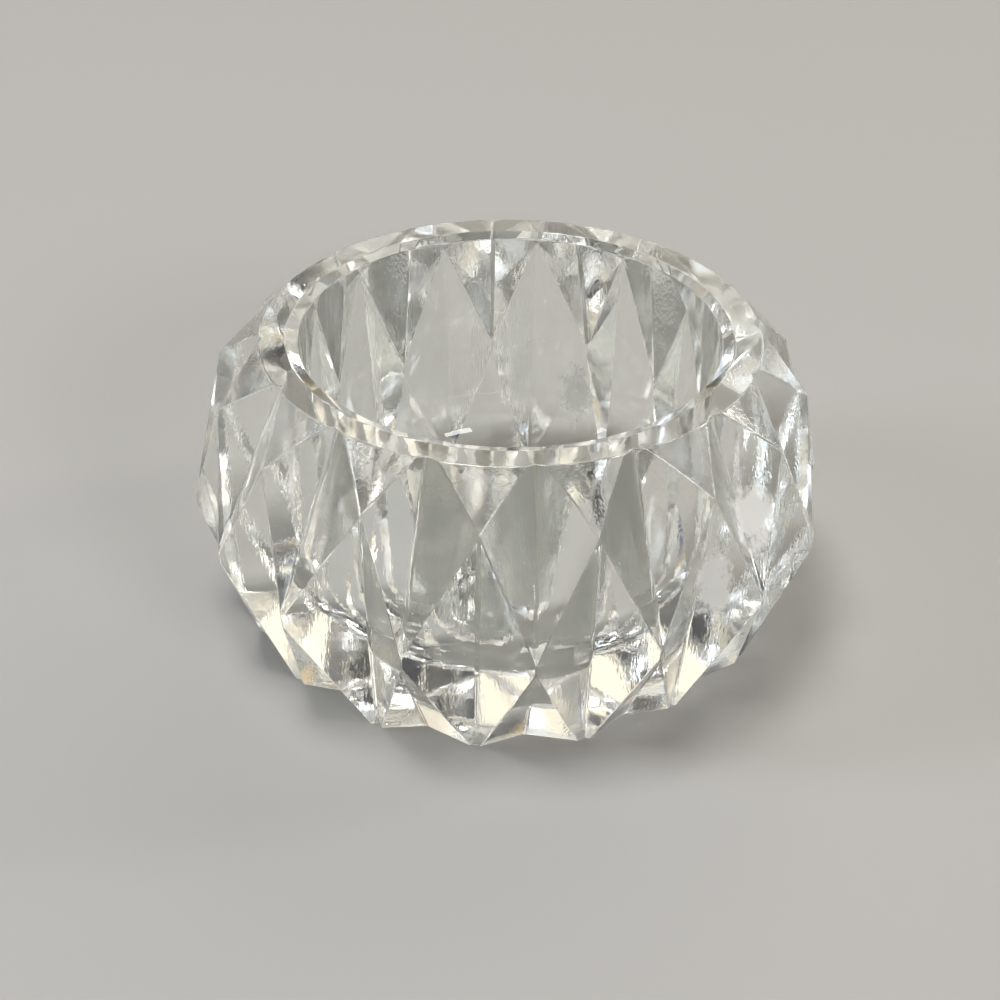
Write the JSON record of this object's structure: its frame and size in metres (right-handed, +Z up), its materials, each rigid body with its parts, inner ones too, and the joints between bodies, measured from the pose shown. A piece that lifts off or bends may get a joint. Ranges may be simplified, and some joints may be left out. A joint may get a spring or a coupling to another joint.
{
  "type": "salt cellar",
  "caption": "Open salt cellar: squat barrel bowl of clear cut crystal, with rows of long V-cut lozenges round the outside, a flat bevelled rim and a smooth round well for salt.",
  "frame": {"origin": "centre of the flat base, on the table", "axes": "+Z up along the axis of the bowl, out of its mouth; a long middle-row cut faces along +X"},
  "size_m": [0.061, 0.061, 0.03],
  "materials": {
    "lead_crystal": "clear, wheel-cut and polished"
  },
  "bodies": {
    "root": {"crystal_bowl": "lead_crystal"}
  },
  "joints": []
}
